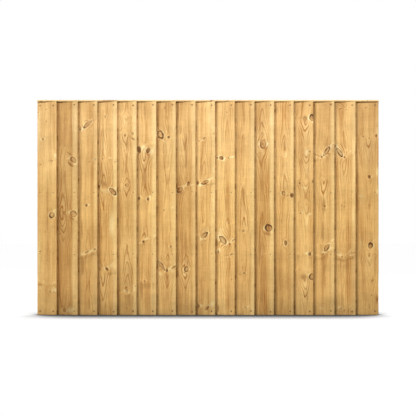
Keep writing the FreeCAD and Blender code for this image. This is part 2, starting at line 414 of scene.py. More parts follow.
class Growth:
    """The growth of one timber at its points, which lie along it, across it and under its face.

    heart is where the centre line of the trunk lies across the timber. flow is the place across
    of each point's fibre. outline is the distance from the nearest knot, with how dark its body
    and rim are. glow is above 0 where the wood is pale and below 0 where resin darkens it. swell
    is where rings bulge, lively where they are thin and sharp, and quiet where they are lost.
    """

    def __init__(self, along, across, depth, heart, seed):
        self.along, self.across, self.depth = along, across, depth
        self.heart, self.seed = heart, seed
        self.random = np.random.default_rng(seed)
        self.flow = across.copy()
        self.outline = np.full_like(across, FAR_FROM_KNOTS)
        self.body, self.rim, self.glow = np.zeros((3, len(across)))
        self.swell, self.lively, self.quiet = np.zeros((3, len(across)))

    def offsets(self, place, level, turn):
        """How far points lie to the right of a place and above it, as seen and then turned."""
        right, up = self.across - place, self.along - level
        cosine, sine = math.cos(math.radians(turn)), math.sin(math.radians(turn))
        return right, up, right * cosine + up * sine, up * cosine - right * sine


# %% [markdown]
# ## Knots, board by board
# A branch parts the fibres as a stone parts a stream, and leaves a knot. Beside it the fibres turn
# towards the face and look pale, above and below they crowd and look dark, and round a large knot
# the rings swell. Knots sit in whorls where the tree put out its branches, and no two boards have
# the same ones. They could be scattered at random, but this panel's are listed one by one, so that
# each board keeps its own character. A knot is its place along the panel and its height, both in
# millimetres, its half width and half height, its turn in degrees, and how dark its body and its
# rim are, from 0 to 1.

# %% Growth about a knot
KNOT_LUMPS = ((2, 0.05), (3, 0.05), (5, 0.03))


def add_knot(wood, place, level, half_width, half_height, turn, dark, edge):
    right, up, long_way, short_way = wood.offsets(place, level, turn)
    angle = np.arctan2(short_way / half_height, long_way / half_width)
    lumps = 1 + sum(
        size * np.sin(fold * angle + wood.random.uniform(0, math.tau)) for fold, size in KNOT_LUMPS)
    reach = np.maximum(np.hypot(long_way / half_width, short_way / half_height) / lumps, 1e-3)
    gap = (reach - 1) * np.maximum(np.hypot(right, up) / reach, min(half_width, half_height))
    cosine, sine = abs(math.cos(math.radians(turn))), abs(math.sin(math.radians(turn)))
    tall = half_height * cosine + half_width * sine
    wide = half_width * cosine + half_height * sine
    wood.flow -= (wood.flow - place) * 0.75 * bell(right, 1.5 * wide + 5) * bell(up, 1.9 * tall + 8, 1.4)

    # painted shading: the body and rim are painted darker on one side and paler on the other, turned at
    # random, to give the knot relief
    relief_turn = wood.random.uniform(0, math.tau)
    painted_relief = np.clip((right * math.cos(relief_turn) + up * math.sin(relief_turn)) / max(half_width, half_height), -1, 1)
    nearer = gap < wood.outline
    wood.outline = np.where(nearer, gap, wood.outline)
    wood.body = np.where(nearer, dark * (1 + 0.25 * painted_relief), wood.body)
    wood.rim = np.where(nearer, edge * (0.85 + 0.4 * painted_relief), wood.rim)

    girth = half_width + half_height
    large = smooth(10, 26, girth)
    strength = (0.35 + 0.65 * max(dark, edge)) * smooth(0, 14, girth)
    strength *= smooth(0.5, 4.5, min(half_width, half_height))
    around = large * bell(np.maximum(gap, 0), 9 + 0.45 * tall, 1.3)
    wood.swell = np.maximum(wood.swell, around)
    wood.lively = np.maximum(wood.lively, 0.9 * around)
    wood.glow += 0.35 * strength * smooth(8, 22, girth) * bell(gap - 5, 3.2)
    outwards = np.hypot(right, up) + 1e-6
    for side in (-1, 1):
        facing = np.maximum(side * long_way / outwards, 0) ** 1.5 * bell(gap - 5, 3.5 + 0.12 * half_width)
        wood.glow += strength * wood.random.uniform(0.2, 0.85) * facing
        lifted = short_way - wood.random.uniform(-0.7, 0.5) * half_height
        wing = bell(long_way - side * (1.35 * half_width + 2), 0.7 * half_width + 5)
        wood.glow += strength * wood.random.uniform(0.1, 0.6) * wing * bell(lifted, 0.6 * half_height + 5)
        crowded = bell(right, 0.6 * wide + 2.5) * bell(up - side * (tall + 7), 0.7 * tall + 6, 1.5)
        wood.glow -= (1 - 0.7 * large) * strength * wood.random.uniform(0.1, 0.55) * crowded


# %% Knots of the boards
KNOTS = {
    1: [(-885, 940, 4.5, 5.5, 0, 0.7, 0.3), (-840, 825, 9, 2.5, 5, 0.35, 0.3),
        (-895, 805, 14, 2, 15, 0.35, 0.25), (-835, 535, 12, 14, 0, 0.2, 0.75),
        (-870, 445, 2, 6, 0, 0.5, 0.2), (-900, 340, 7, 2, 0, 0.6, 0.3),
        (-845, 340, 6, 1.5, 0, 0.25, 0.15), (-900, 160, 12, 4, -20, 0.25, 0.35),
        (-835, 130, 13, 13, 0, 0.05, 0.15), (-865, 1100, 2.5, 3, 0, 0.6, 0.2),
        (-865, 1035, 2.5, 3, 0, 0.5, 0.2), (-910, 1085, 3, 4, 0, 0.7, 0.2)],
    2: [(-720, 830, 17, 11, -38, 0.3, 0.65), (-740, 805, 15, 2.5, -42, 0.6, 0.4),
        (-770, 545, 7, 9, 0, 0.5, 0.3), (-720, 540, 18, 14, -30, 0.3, 0.65),
        (-795, 430, 6, 3, 30, 0.5, 0.3), (-770, 25, 7, 11, 0, 0.6, 0.2), (-735, 25, 13, 11, 0, 0.05, 0.1)],
    3: [(-645, 1020, 26, 8, 43, 0.5, 0.65), (-685, 995, 4, 6, 0, 0.7, 0.4),
        (-605, 835, 7, 5, 30, 0.35, 0.25), (-635, 820, 14, 1.5, 15, 0.2, 0.2),
        (-650, 585, 5, 6, 0, 0.85, 0.5), (-650, 335, 12, 3.5, 35, 0.55, 0.45),
        (-605, 350, 6, 3.5, 30, 0.55, 0.4)],
    4: [(-510, 660, 24, 9, -45, 0.4, 0.85), (-565, 835, 3, 3, 0, 0.8, 0.3),
        (-550, 1060, 3, 7, 15, 0.6, 0.2), (-585, 685, 5, 9, 0, 0.85, 0.5),
        (-540, 245, 6, 9, 30, 0.85, 0.5), (-495, 820, 7, 2, 20, 0.35, 0.2),
        (-570, 260, 4, 4, 0, 0.4, 0.2)],
    5: [(-445, 960, 3.5, 6, 0, 0.85, 0.4), (-405, 970, 4.5, 7, 0, 0.4, 0.45),
        (-400, 940, 12, 3, -25, 0.45, 0.2), (-440, 695, 3.5, 5, 0, 0.7, 0.3),
        (-450, 875, 3, 2, 0, 0.5, 0.1), (-435, 125, 6, 9, 0, 0.35, 0.3), (-435, 35, 4, 6, 0, 0.55, 0.2),
        (-390, 155, 4, 4, 0, 0.2, 0.2)],
    6: [(-370, 885, 9, 18, 15, 0.9, 0.6), (-320, 880, 9, 15, -25, 0.8, 0.55),
        (-370, 625, 5, 8, 0, 0.85, 0.5), (-320, 620, 5, 7, 0, 0.85, 0.5),
        (-345, 390, 4.5, 6, 0, 0.95, 0.6), (-340, 180, 4, 5, 0, 0.6, 0.3),
        (-310, 415, 6, 3, 0, 0.2, 0.15)],
    7: [(-255, 965, 13, 20, 15, 0.1, 1), (-210, 950, 5, 6, 0, 0.9, 0.5), (-230, 1110, 4, 5, 0, 0.6, 0.3),
        (-235, 560, 6, 4, 0, 0.4, 0.2), (-200, 365, 5, 4, 0, 0.6, 0.3),
        (-250, 265, 30, 7, -53, 0.35, 0.7), (-220, 240, 5, 8, 0, 0.85, 0.5),
        (-185, 255, 13, 4, 35, 0.6, 0.4)],
    8: [(-150, 670, 18, 9, 48, 0.35, 0.8), (-105, 700, 5, 10, -10, 0.7, 0.7),
        (-115, 245, 9, 14, 0, 0.4, 0.75), (-95, 995, 3, 3, 0, 0.3, 0.2)],
    9: [(-20, 945, 8, 4, 40, 0.65, 0.3), (-50, 930, 5, 4, 0, 0.4, 0.2), (-15, 710, 18, 8, 28, 0.3, 0.8),
        (-55, 705, 5, 8, 0, 0.8, 0.4), (-20, 425, 20, 9, 42, 0.45, 0.75), (-5, 35, 13, 5, 50, 0.7, 0.5),
        (-50, 50, 5, 10, 0, 0.7, 0.4), (30, 970, 8, 2, 0, 0.3, 0.15)],
    10: [(70, 840, 11, 7, -30, 0.75, 0.6), (110, 840, 3, 3, 0, 0.8, 0.3), (50, 840, 4, 4, 0, 0.7, 0.3),
         (110, 490, 4, 5, 0, 0.5, 0.2), (80, 400, 25, 11, -48, 0.4, 0.8), (115, 380, 4, 4, 0, 0.9, 0.4),
         (135, 400, 12, 2.5, 40, 0.5, 0.3), (130, 325, 14, 4, 10, 0.4, 0.2),
         (125, 190, 4, 3, 0, 0.4, 0.2), (55, 340, 3, 9, 0, 0.7, 0.3), (100, 1085, 3, 4, 0, 0.5, 0.2)],
    11: [(190, 450, 5, 6, 0, 0.6, 0.35), (195, 225, 5, 4, 0, 0.7, 0.35),
         (170, 215, 10, 1.5, -20, 0.25, 0.15), (200, 40, 6, 3, 0, 0.5, 0.3),
         (175, 700, 2.5, 2.5, 0, 0.6, 0.1)],
    12: [(295, 915, 16, 21, 0, 0.45, 0.65), (325, 465, 16, 17, 0, 0.4, 1),
         (275, 865, 12, 2, 20, 0.3, 0.2)],
    13: [(405, 650, 8, 10, 0, 0.1, 0.6), (450, 640, 9, 10, 0, 0.9, 0.6), (415, 385, 6, 14, 5, 0.8, 0.5),
         (360, 1095, 4, 8, 0, 0.6, 0.3), (380, 650, 3, 3, 0, 0.4, 0.2)],
    14: [(555, 1055, 11, 15, 0, 0.6, 0.85), (520, 1050, 10, 9, 0, 0.15, 0.35),
         (545, 875, 6, 3, 20, 0.6, 0.3), (490, 705, 4, 4, 0, 0.9, 0.4), (560, 715, 4, 4, 0, 0.8, 0.4),
         (495, 545, 3.5, 3.5, 0, 0.7, 0.3), (545, 325, 6, 8, 0, 0.95, 0.6),
         (555, 205, 12, 14, 0, 0.4, 0.75)],
    15: [(635, 875, 28, 8, 55, 0.4, 0.85), (640, 880, 17, 1.5, 55, 0.8, 0.5),
         (610, 845, 4.5, 5, 0, 0.85, 0.4), (670, 910, 9, 3, 40, 0.3, 0.2),
         (585, 855, 16, 2.5, -25, 0.35, 0.25), (625, 580, 5, 6, 0, 0.7, 0.4),
         (635, 360, 20, 9, 57, 0.35, 0.75), (615, 325, 8, 3, 45, 0.6, 0.4), (620, 60, 3, 3, 0, 0.5, 0.2)],
    16: [(705, 870, 27, 8, -56, 0.4, 0.85), (710, 870, 16, 1.5, -56, 0.8, 0.5),
         (680, 905, 5, 8, 0, 0.7, 0.3), (730, 845, 4, 4.5, 0, 0.9, 0.4),
         (715, 1115, 19, 1.5, -33, 0.5, 0.3), (740, 1100, 3, 2.5, 0, 0.6, 0.2),
         (715, 585, 3, 4, 0, 0.5, 0.2), (730, 580, 3, 4, 0, 0.5, 0.2), (720, 310, 3.5, 4, 0, 0.7, 0.4),
         (735, 310, 3, 3, 0, 0.6, 0.3), (775, 330, 13, 2.5, 25, 0.5, 0.35),
         (700, 330, 14, 2, -30, 0.3, 0.2), (710, 35, 4, 4, 0, 0.6, 0.3), (730, 25, 3, 4, 0, 0.6, 0.3)],
    17: [(900, 960, 6, 7, 0, 0.8, 0.4), (830, 955, 4, 4, 0, 0.75, 0.3), (865, 945, 3, 3, 0, 0.7, 0.3),
         (865, 740, 6.5, 8.5, 0, 0.95, 0.5), (870, 370, 10, 13, 0, 0.5, 1),
         (825, 635, 12, 2, -15, 0.3, 0.2), (880, 185, 9, 3, 45, 0.3, 0.25), (905, 80, 5, 9, 0, 0.6, 0.3),
         (875, 105, 2.5, 6, 0, 0.6, 0.2), (865, 40, 4, 4, 0, 0.5, 0.2),
         (815, 1110, 2.5, 2.5, 0, 0.5, 0.2), (845, 1110, 8, 2, 20, 0.35, 0.3),
         (865, 585, 3, 4, 0, 0.4, 0.2)],
}
print(sum(map(len, KNOTS.values())), "knots on", len(KNOTS), "boards")

# %% [markdown]
# ## Resin streaks
# Resin darkens the wood in long spindles that follow the grain, and where the fibres lean out the
# same shape is pale. They are listed like the knots. A streak is its place, its height,
# its half width and half height, and its strength, below 0 where it is pale.

# %% Streaks of the boards
def add_streak(wood, place, level, half_width, half_height, strength):
    drift = place + 1.2 * sway(wood.along, 150, wood.seed + 5)
    lengthways = bell(wood.along - level, half_height, 3.0)
    wood.glow -= strength * bell(wood.across - drift, half_width) * lengthways


STREAKS = {
    1: [(-860, 590, 4, 170, 0.7), (-860, 330, 4, 80, 0.6), (-820, 855, 6, 10, -0.7)],
    2: [(-775, 720, 14, 110, 0.35)],
    3: [(-680, 720, 5, 130, 0.35), (-675, 455, 4, 50, 0.4)],
    4: [(-560, 940, 5, 65, 0.75), (-565, 735, 8, 45, 0.6), (-515, 480, 12, 60, -0.35)],
    5: [(-440, 1045, 4, 60, 0.3), (-440, 800, 4, 50, 0.35)],
    6: [(-340, 1095, 8, 60, 0.45), (-340, 720, 9, 80, 0.4), (-355, 135, 9, 60, 0.4),
        (-305, 865, 8, 20, -0.5)],
    7: [(-220, 720, 10, 70, 0.2), (-220, 210, 7, 50, 0.6)],
    8: [(-120, 880, 8, 90, 0.35)],
    9: [(-40, 795, 6, 50, 0.45), (-35, 150, 5, 50, 0.4), (-50, 1095, 4, 60, 0.3), (15, 1045, 9, 60, -0.4)],
    10: [(100, 560, 6, 60, 0.25), (135, 845, 8, 5, -0.6), (95, 1045, 14, 60, -0.25)],
    11: [(190, 615, 7, 70, 0.6), (190, 880, 5, 70, 0.3)],
    12: [(290, 750, 16, 90, 0.25), (285, 1015, 9, 50, 0.3), (280, 350, 14, 80, 0.45),
         (290, 105, 14, 60, 0.3)],
    13: [(410, 905, 6, 50, 0.6), (405, 720, 9, 50, 0.3), (445, 880, 6, 60, -0.3)],
    14: [(525, 935, 7, 60, 0.3), (520, 1050, 19, 17, 1.1), (530, 105, 7, 60, 0.5),
         (510, 200, 16, 18, 0.35), (525, 870, 6, 22, -0.6), (530, 765, 8, 50, -0.4),
         (530, 495, 7, 40, -0.5)],
    15: [(620, 590, 9, 50, 0.5), (615, 445, 6, 50, 0.5), (620, 215, 6, 60, 0.35)],
    16: [(730, 640, 6, 90, 0.35)],
    17: [(865, 830, 14, 90, 0.25), (905, 780, 4, 22, -0.8), (905, 1055, 4, 40, -0.5),
         (905, 430, 4, 60, -0.5), (910, 670, 4, 25, -0.7)],
}
print(sum(map(len, STREAKS.values())), "streaks")

# %% [markdown]
# ## Flares
# Beside knots, and along some edges, short patches of curled fibre catch the light, and small
# pockets of resin lie dark. Each is its place, its height, its half length and half thickness,
# its turn in degrees, and its strength, below 0 where it is dark.

# %% Flares of the boards
def add_flare(wood, place, level, half_length, half_thickness, turn, strength):
    _, _, long_way, short_way = wood.offsets(place, level, turn)
    wood.glow += 1.35 * strength * bell(long_way, half_length) * bell(short_way, half_thickness)


FLARES = {
    1: [(-815, 850, 6, 15, 0, 0.5), (-820, 560, 10, 7, 0, 0.7), (-835, 565, 6, 5, 0, -0.7),
        (-820, 545, 6, 10, 0, 0.6), (-895, 145, 15, 12, 0, 0.5), (-825, 135, 15, 12, 0, 0.8),
        (-845, 125, 4, 7, -30, -0.9), (-895, 165, 15, 4, -20, -0.5), (-905, 990, 9, 160, 0, 0.45),
        (-905, 295, 9, 215, 0, 0.35)],
    2: [(-745, 840, 9, 6, 30, 0.7), (-710, 805, 7, 5, 0, 0.9), (-735, 805, 18, 5, -40, -1),
        (-745, 865, 18, 3, -35, -0.6), (-700, 560, 7, 9, 0, 1), (-710, 510, 7, 6, 0, 0.9),
        (-725, 515, 15, 5, -35, -0.9), (-740, 550, 9, 9, 0, 0.5), (-775, 545, 12, 15, 0, -0.6),
        (-735, 25, 14, 12, 0, 1.1), (-770, 30, 10, 12, 0, -0.7), (-710, 1015, 10, 120, 0, 0.4)],
    3: [(-675, 990, 5, 9, 0, 0.7), (-610, 1040, 15, 4, 35, -0.4), (-605, 835, 6, 6, 0, 0.9),
        (-640, 590, 7, 5, 0, 0.8), (-625, 340, 12, 5, 15, 0.9), (-605, 345, 7, 6, 0, 0.8),
        (-665, 325, 15, 5, 20, 0.5), (-670, 260, 10, 45, 0, -0.45), (-680, 465, 6, 55, 0, -0.4)],
    4: [(-495, 680, 6, 10, 0, 0.8), (-490, 640, 5, 7, 0, 0.8), (-555, 700, 30, 10, -35, -0.75),
        (-550, 665, 25, 15, -15, 0.4), (-525, 840, 10, 5, 0, 0.55), (-585, 680, 4, 10, 0, -0.9),
        (-550, 245, 8, 10, 0, 0.7), (-515, 260, 15, 15, 20, 0.65), (-495, 260, 6, 12, 0, 0.6),
        (-520, 220, 20, 8, 15, -0.35), (-515, 480, 15, 65, 0, 0.4)],
    5: [(-395, 995, 5, 15, 0, 0.5), (-405, 945, 20, 5, -30, -0.6), (-465, 975, 10, 6, 0, 0.4),
        (-435, 290, 15, 9, 0, 0.4), (-440, 130, 9, 9, 0, 0.5), (-395, 145, 5, 15, 0, 0.9),
        (-415, 115, 20, 5, -35, 0.45), (-465, 120, 12, 5, 25, 0.45), (-435, 905, 5, 30, 0, -0.5)],
    6: [(-345, 900, 12, 12, 0, 0.6), (-295, 880, 9, 20, 0, 0.5), (-310, 635, 7, 6, 0, 0.8),
        (-360, 635, 5, 5, 0, 0.6), (-365, 385, 10, 5, 0, 0.8), (-330, 405, 12, 5, 20, 0.8),
        (-285, 425, 5, 6, 0, 0.7), (-330, 155, 45, 15, 0, -0.3), (-340, 735, 25, 30, 0, -0.3)],
    7: [(-185, 1000, 6, 20, 0, 0.5), (-235, 930, 15, 5, -25, 0.45), (-265, 950, 9, 5, -20, -0.9),
        (-190, 575, 12, 7, 0, 0.45), (-255, 220, 20, 15, -45, 0.7), (-190, 235, 12, 9, 30, 0.8),
        (-215, 220, 7, 10, 0, 0.6), (-270, 285, 4, 25, 0, -0.7)],
    8: [(-160, 665, 6, 12, 0, -0.8), (-145, 650, 12, 4, 30, -0.6), (-85, 695, 12, 7, 30, 0.55),
        (-125, 690, 10, 6, 30, 0.5), (-125, 215, 12, 8, 0, 1), (-110, 280, 3, 12, 0, -0.6),
        (-165, 220, 4, 15, 0, -1.3), (-160, 1090, 4, 45, 0, -0.9), (-120, 400, 45, 85, 0, -0.15)],
    9: [(-45, 695, 8, 6, 0, 0.7), (15, 730, 15, 5, 20, 0.55), (15, 700, 25, 10, 10, -0.35),
        (30, 780, 5, 20, 0, 0.5), (-50, 705, 5, 10, 0, -0.8), (5, 440, 8, 5, 35, 0.75),
        (-35, 405, 8, 5, 40, 0.5), (20, 460, 15, 4, 35, 0.4), (25, 55, 15, 10, 25, 1),
        (-45, 25, 9, 9, 0, 0.4), (-55, 50, 4, 15, 0, -1), (-35, 785, 4, 45, 5, -0.4),
        (30, 590, 5, 55, 0, 0.4)],
    10: [(85, 840, 7, 6, 0, 0.6), (55, 830, 6, 5, 0, 0.5), (125, 845, 12, 4, 20, 0.8),
         (140, 395, 12, 4, 40, 0.6), (60, 350, 15, 15, 0, 0.5), (110, 320, 20, 5, 5, -0.55),
         (105, 310, 15, 4, 5, 0.4), (45, 385, 4, 12, 0, -1.2), (55, 35, 5, 18, 0, -1),
         (70, 445, 15, 25, 0, 0.35)],
    11: [(190, 445, 8, 5, 0, 0.6), (190, 470, 3, 12, 0, -0.6), (215, 45, 12, 5, 15, 0.45),
         (175, 220, 12, 3, 0, -0.3), (190, 650, 6, 35, 0, -0.6)],
    12: [(275, 915, 7, 25, 0, 0.3), (325, 905, 9, 35, 0, 0.4), (300, 465, 7, 15, 0, 0.9),
         (340, 440, 7, 7, 0, 0.7), (315, 435, 15, 7, -20, -0.75), (335, 1045, 10, 75, 0, 0.35),
         (335, 615, 10, 105, 0, 0.35)],
    13: [(415, 860, 7, 25, 0, 0.45), (410, 900, 5, 20, 0, -0.6), (430, 640, 15, 7, 0, -0.8),
         (445, 660, 6, 5, 0, 0.5), (410, 370, 5, 4, 0, 0.6), (370, 1095, 5, 20, 0, -0.8)],
    14: [(560, 1030, 6, 5, 0, 0.8), (540, 1065, 4, 10, 0, 0.5), (530, 870, 12, 25, 0, 0.45),
         (515, 680, 20, 10, -20, 0.5), (560, 715, 5, 5, 0, -0.6), (530, 330, 9, 6, 0, 0.8),
         (540, 215, 7, 9, 0, 0.6), (515, 205, 20, 15, 0, -0.45), (530, 160, 8, 6, 0, 0.5),
         (545, 540, 12, 9, 30, 0.5), (505, 550, 12, 6, -30, 0.4)],
    15: [(580, 845, 18, 4, -20, 0.55), (570, 825, 12, 9, 0, -0.5), (660, 910, 12, 4, 35, 0.6),
         (660, 885, 5, 12, -35, 0.45), (655, 355, 7, 10, -30, 0.6), (665, 400, 10, 5, 40, 0.7),
         (585, 320, 18, 5, -10, 0.6), (595, 300, 25, 9, 0, -0.25), (615, 580, 4, 20, 0, -0.5),
         (605, 35, 25, 10, 0, 0.35)],
    16: [(770, 865, 15, 4, 25, 0.4), (700, 320, 15, 5, -25, 0.8), (770, 325, 15, 6, 30, 1.2),
         (760, 300, 25, 6, 20, -0.5), (705, 295, 20, 6, -15, -0.3), (735, 260, 45, 25, 0, -0.2),
         (770, 30, 10, 7, 20, 0.5), (700, 40, 9, 5, -20, 0.5), (775, 535, 7, 65, 0, 0.4)],
    17: [(905, 985, 5, 20, 0, 0.8), (905, 760, 6, 15, 0, 1.1), (905, 660, 6, 15, 0, 1),
         (825, 635, 15, 4, -10, 0.9), (820, 370, 12, 60, 0, 0.35), (870, 335, 10, 4, 0, 0.5),
         (885, 185, 10, 4, 30, -0.5), (905, 80, 6, 15, 0, -0.9), (890, 400, 15, 6, 25, 0.4),
         (820, 615, 9, 85, 0, 0.3)],
}
print(sum(map(len, FLARES.values())), "flares")

# %% [markdown]
# ## Whorl lines
# Where a ring of branches grew, a pale line crosses the whole board, with darker wood below it.
# It is its height at the heart, its strength, and how far it rises over 50 mm to the left and to
# the right.

# %% Whorl lines of the boards
WHORL_SIDE = 50


def add_whorl(wood, level, strength, left_rise, right_rise):
    side = (wood.across - wood.heart) / WHORL_SIDE
    rise = np.where(side < 0, -side * left_rise, side * right_rise)
    above = wood.along - level - (rise + 5 * sway(wood.across, 31, wood.seed + 6))
    patchy = np.clip(0.6 + 0.7 * sway(wood.across, 47, wood.seed + 7), 0, 1)
    wood.glow += strength * patchy * bell(above - 11, 9) * smooth(-3, 10, above)
    wood.glow -= 0.75 * strength * smooth(6, -8, above) * np.exp(np.minimum(above, 0) / 40)


WHORLS = {
    1: [(155, 0.5, 20, 10)], 2: [(550, 0.25, 10, 0)], 3: [(320, 0.65, -10, 35)], 4: [(240, 0.45, 30, 25)],
    5: [(110, 0.45, 25, 10)], 6: [(395, 0.5, -10, 20), (175, 0.4, 0, 0)], 7: [(230, 0.6, 45, 35)],
    9: [(440, 0.4, -25, 45), (40, 0.5, -10, 20)], 10: [(375, 0.6, 20, 30)], 11: [(455, 0.35, 0, 5)],
    14: [(320, 0.4, 0, 10)], 15: [(845, 0.5, 25, 60), (320, 0.55, 25, 30)],
    16: [(840, 0.5, 50, 30), (305, 0.65, 30, 35), (25, 0.5, 10, 10)],
}
print(sum(map(len, WHORLS.values())), "whorl lines")

# %% [markdown]
# ## Rings and arches
# A trunk adds a ring a year around its heart, so the age of the wood is the distance from the
# heart line divided by the ring width. The heart wanders and the trunk tapers. Where the trunk
# swelled, the rings come to a flat-sawn face as a nest of pointed arches. An arch is its height,
# how many rings it shows and how far it reaches below and above. Its short side is kept quiet, so
# that a nest opens one way; with two long sides it closes to an eye. A heart is its place along
# the panel, its depth under the face, the ring width and the taper over a metre.

# %% Rings of the boards
TIP = 5.0
BLUNT = 40.0
MID_HEIGHT = 570


def grow_rings(wood, buried, ring, taper, arches=()):
    """The age in years, and how lively the rings are, once all other features are in place."""
    along, across, seed = wood.along, wood.across, wood.seed
    centre = wood.heart + 6 * sway(along, 900, seed) + 1.2 * sway(along, 170, seed + 1)
    under = buried + taper * (along - MID_HEIGHT) / 1000 + 2.5 * sway(along, 520, seed + 2)
    sideways = wood.flow - centre
    pointed = np.hypot(sideways, TIP) - TIP
    age = (np.hypot(0.75 * sideways, under - wood.depth) + 0.25 * pointed) / ring + 1.8 * wood.swell
    for level, count, below, above in arches:
        off = along - level
        reach = np.where(off < 0, below, above)
        age = age - count * bell(off, reach, 1.25)
        near_heart = bell(across - centre, 32) * bell(off, 1.4 * reach)
        wood.lively = np.maximum(wood.lively, min(abs(count) / 3, 1) * near_heart)
        if min(below, above) < BLUNT:
            closed = np.where(reach < BLUNT, bell(off, 2.2 * reach, 3.0), bell(off, 16))
            wood.quiet = np.maximum(wood.quiet, closed * bell(across - centre, 45))
    age = age + 0.22 * sway(along + 2 * across, 260, seed + 3)
    age = age + 0.10 * sway(along - 3 * across, 90, seed + 4)
    return age, wood.lively * (1 - wood.quiet) - 0.2 * wood.quiet


ARCHES = {
    2: [(545, 4.5, 120, 130), (890, 2, 150, 15)],
    4: [(835, 2, 10, 130), (670, 2.5, 12, 110), (650, 0.8, 65, 12), (230, 3, 120, 12)],
    5: [(1060, 2, 70, 12), (975, 2.5, 140, 12), (695, 2.4, 65, 42), (130, 4.5, 12, 200)],
    6: [(900, 6, 150, 12), (640, 2.5, 12, 70), (400, 2, 12, 70)],
    7: [(945, 2, 120, 12), (285, 2, 12, 60), (225, 2.5, 80, 10)],
    8: [(960, 2.2, 130, 12), (245, 3.5, 90, 50)],
    9: [(735, 1.5, 10, 110)],
    10: [(480, 0.8, 50, 50)],
    11: [(455, 2.2, 10, 150)],
    12: [(330, 2, 12, 90), (915, 4, 75, 80)],
    13: [(870, 1.5, 12, 90), (660, 2, 10, 90)],
    14: [(1045, 5, 110, 12), (870, 2.4, 75, 25), (715, 2.2, 70, 12), (600, 2, 100, 12),
         (215, 4.8, 130, 25)],
    15: [(720, 2.5, 150, 12), (385, 2, 10, 80)],
    16: [(840, 1.2, 120, 12)],
    17: [(950, 2.5, 95, 12), (335, 2.6, 80, 30)],
}
HEARTS = {
    1: (-860, 60, 5.0, 9), 2: (-775, 45, 6.0, -8), 3: (-640, 60, 5.0, 10), 4: (-560, 40, 5.6, -8),
    5: (-435, 28, 6.5, 6), 6: (-340, 45, 5.8, -7), 7: (-220, 45, 5.5, 8), 8: (-120, 45, 5.5, 8),
    9: (-25, 50, 5.0, -8), 10: (105, 55, 5.0, 7), 11: (190, 40, 5.5, -7), 12: (290, 45, 5.5, 10),
    13: (410, 36, 6.0, -8), 14: (525, 32, 6.2, 8), 15: (620, 32, 5.8, -8), 16: (725, 40, 5.5, 8),
    17: (865, 36, 6.0, -8),
}
ring_widths = [heart[2] for heart in HEARTS.values()]
print(sum(map(len, ARCHES.values())), "arches, rings of", min(ring_widths), "to", max(ring_widths), "mm")

# %% [markdown]
# ## Each board's tone
# Boards from different trees take the dip differently. A board's tone is how pale it is at the
# head and at the foot, how pale the sapwood along its thick edge is, how wide that strip is, and
# how much resin the whole board holds.

# %% Tones of the boards
TONES = {
    1: (1.05, 1.0, 0.15, 140, 0), 2: (0.8, 0.85, 0.8, 30, 0.15), 3: (1.05, 0.95, 0.6, 20, 0),
    4: (1.1, 0.9, 0.9, 22, 0), 5: (1.1, 0.85, 0.9, 21, 0.1), 6: (1.1, 1.1, 0.9, 22, 0.05),
    7: (0.9, 1.1, 0.8, 21, 0), 8: (1.0, 1.0, 0.7, 19, 0.2), 9: (1.2, 1.0, 0.7, 21, 0),
    10: (1.15, 1.2, 0.1, 20, 0), 11: (1.05, 1.05, 0.9, 20, 0), 12: (1.0, 0.95, 0.9, 22, 0.15),
    13: (1.2, 0.85, 0.6, 20, 0), 14: (1.05, 1.05, 0.1, 20, 0.05), 15: (0.95, 1.05, 0.8, 21, 0.05),
    16: (1.05, 1.0, 0.6, 20, 0), 17: (0.9, 1.0, 0.2, 20, 0.1),
}
head_tones = [tone[0] for tone in TONES.values()]
print("tones at the head from", min(head_tones), "to", max(head_tones))

# %% [markdown]
# ## The timber as a node tree
# All the boards follow one rule: a wedge section, thin at one edge and thick at the other, run up
# the height of the panel. A Geometry Nodes tree with the four corners of the section as named
# inputs makes every one of them. It starts from a gridded cube, squeezes its outer rows close to
# the edges, moves each point to its place between the corners, and draws the arrises in a
# little, because no sawn edge is razor sharp.

# %% Timber tree
CORNERS = ("back left", "back right", "front right", "front left")
PARTS = ("Column", "Layer", "Row")
ARRIS = 0.0005


def eased_rows(value, count, margin):
    """Moves a row of evenly spaced points so that the outer ones sit close to the ends."""
    first = sums("DIVIDE", 1.0, count - 1.0)
    inputs = {0: value, 1: first, 2: 1.0 - first, 3: margin, 4: 1.0 - margin}
    return limited(out(tree_of(value), "ShaderNodeMapRange", inputs, clamp=False))


def at_end(value):
    """1 at either end of a row, else 0."""
    return sums("GREATER_THAN", abs(value - 0.5), 0.49999)


def coat(tree, give, geometry, material):
    """Ends a geometry tree with one coated mesh."""
    whole = out(tree, "GeometryNodeRealizeInstances", {"Geometry": geometry})
    coated = out(tree, "GeometryNodeSetMaterial", {"Geometry": whole, "Material": material})
    fill(give, {"Geometry": coated})
    return tree


